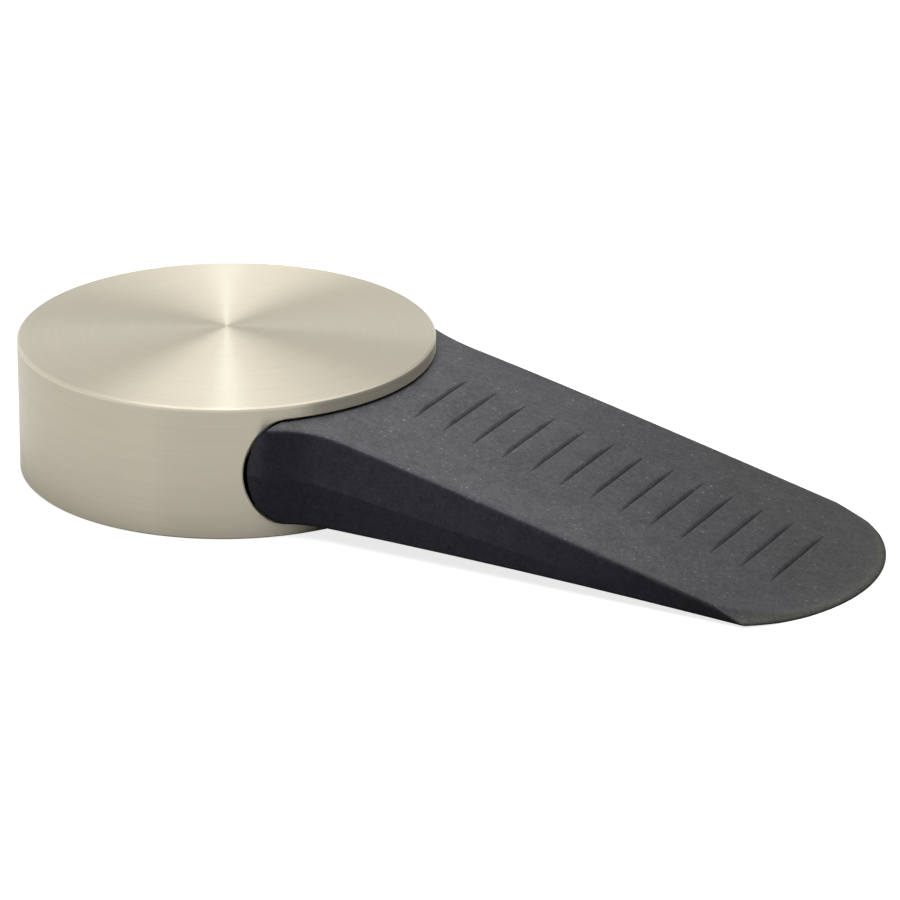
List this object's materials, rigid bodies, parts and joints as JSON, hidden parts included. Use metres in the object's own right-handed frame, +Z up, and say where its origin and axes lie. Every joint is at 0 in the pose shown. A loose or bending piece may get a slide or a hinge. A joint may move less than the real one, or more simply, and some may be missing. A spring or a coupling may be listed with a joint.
{
  "type": "floor door stop",
  "caption": "Floor door stop: a short metal drum, slotted across its front, holds a notched rubber wedge that slopes down to a thin round tip and jams under a door.",
  "frame": {"origin": "on the drum's axis, at the floor", "axes": "+Z up along the drum's axis, +X along the wedge towards its tip"},
  "size_m": [0.1306, 0.06, 0.0207],
  "materials": {
    "drum_metal": "satin, spun on the top and brushed around the wall",
    "wedge_rubber": "matte moulded, dark grey, finely speckled"
  },
  "bodies": {
    "root": {"drum": "drum_metal", "wedge": "wedge_rubber"}
  },
  "joints": []
}
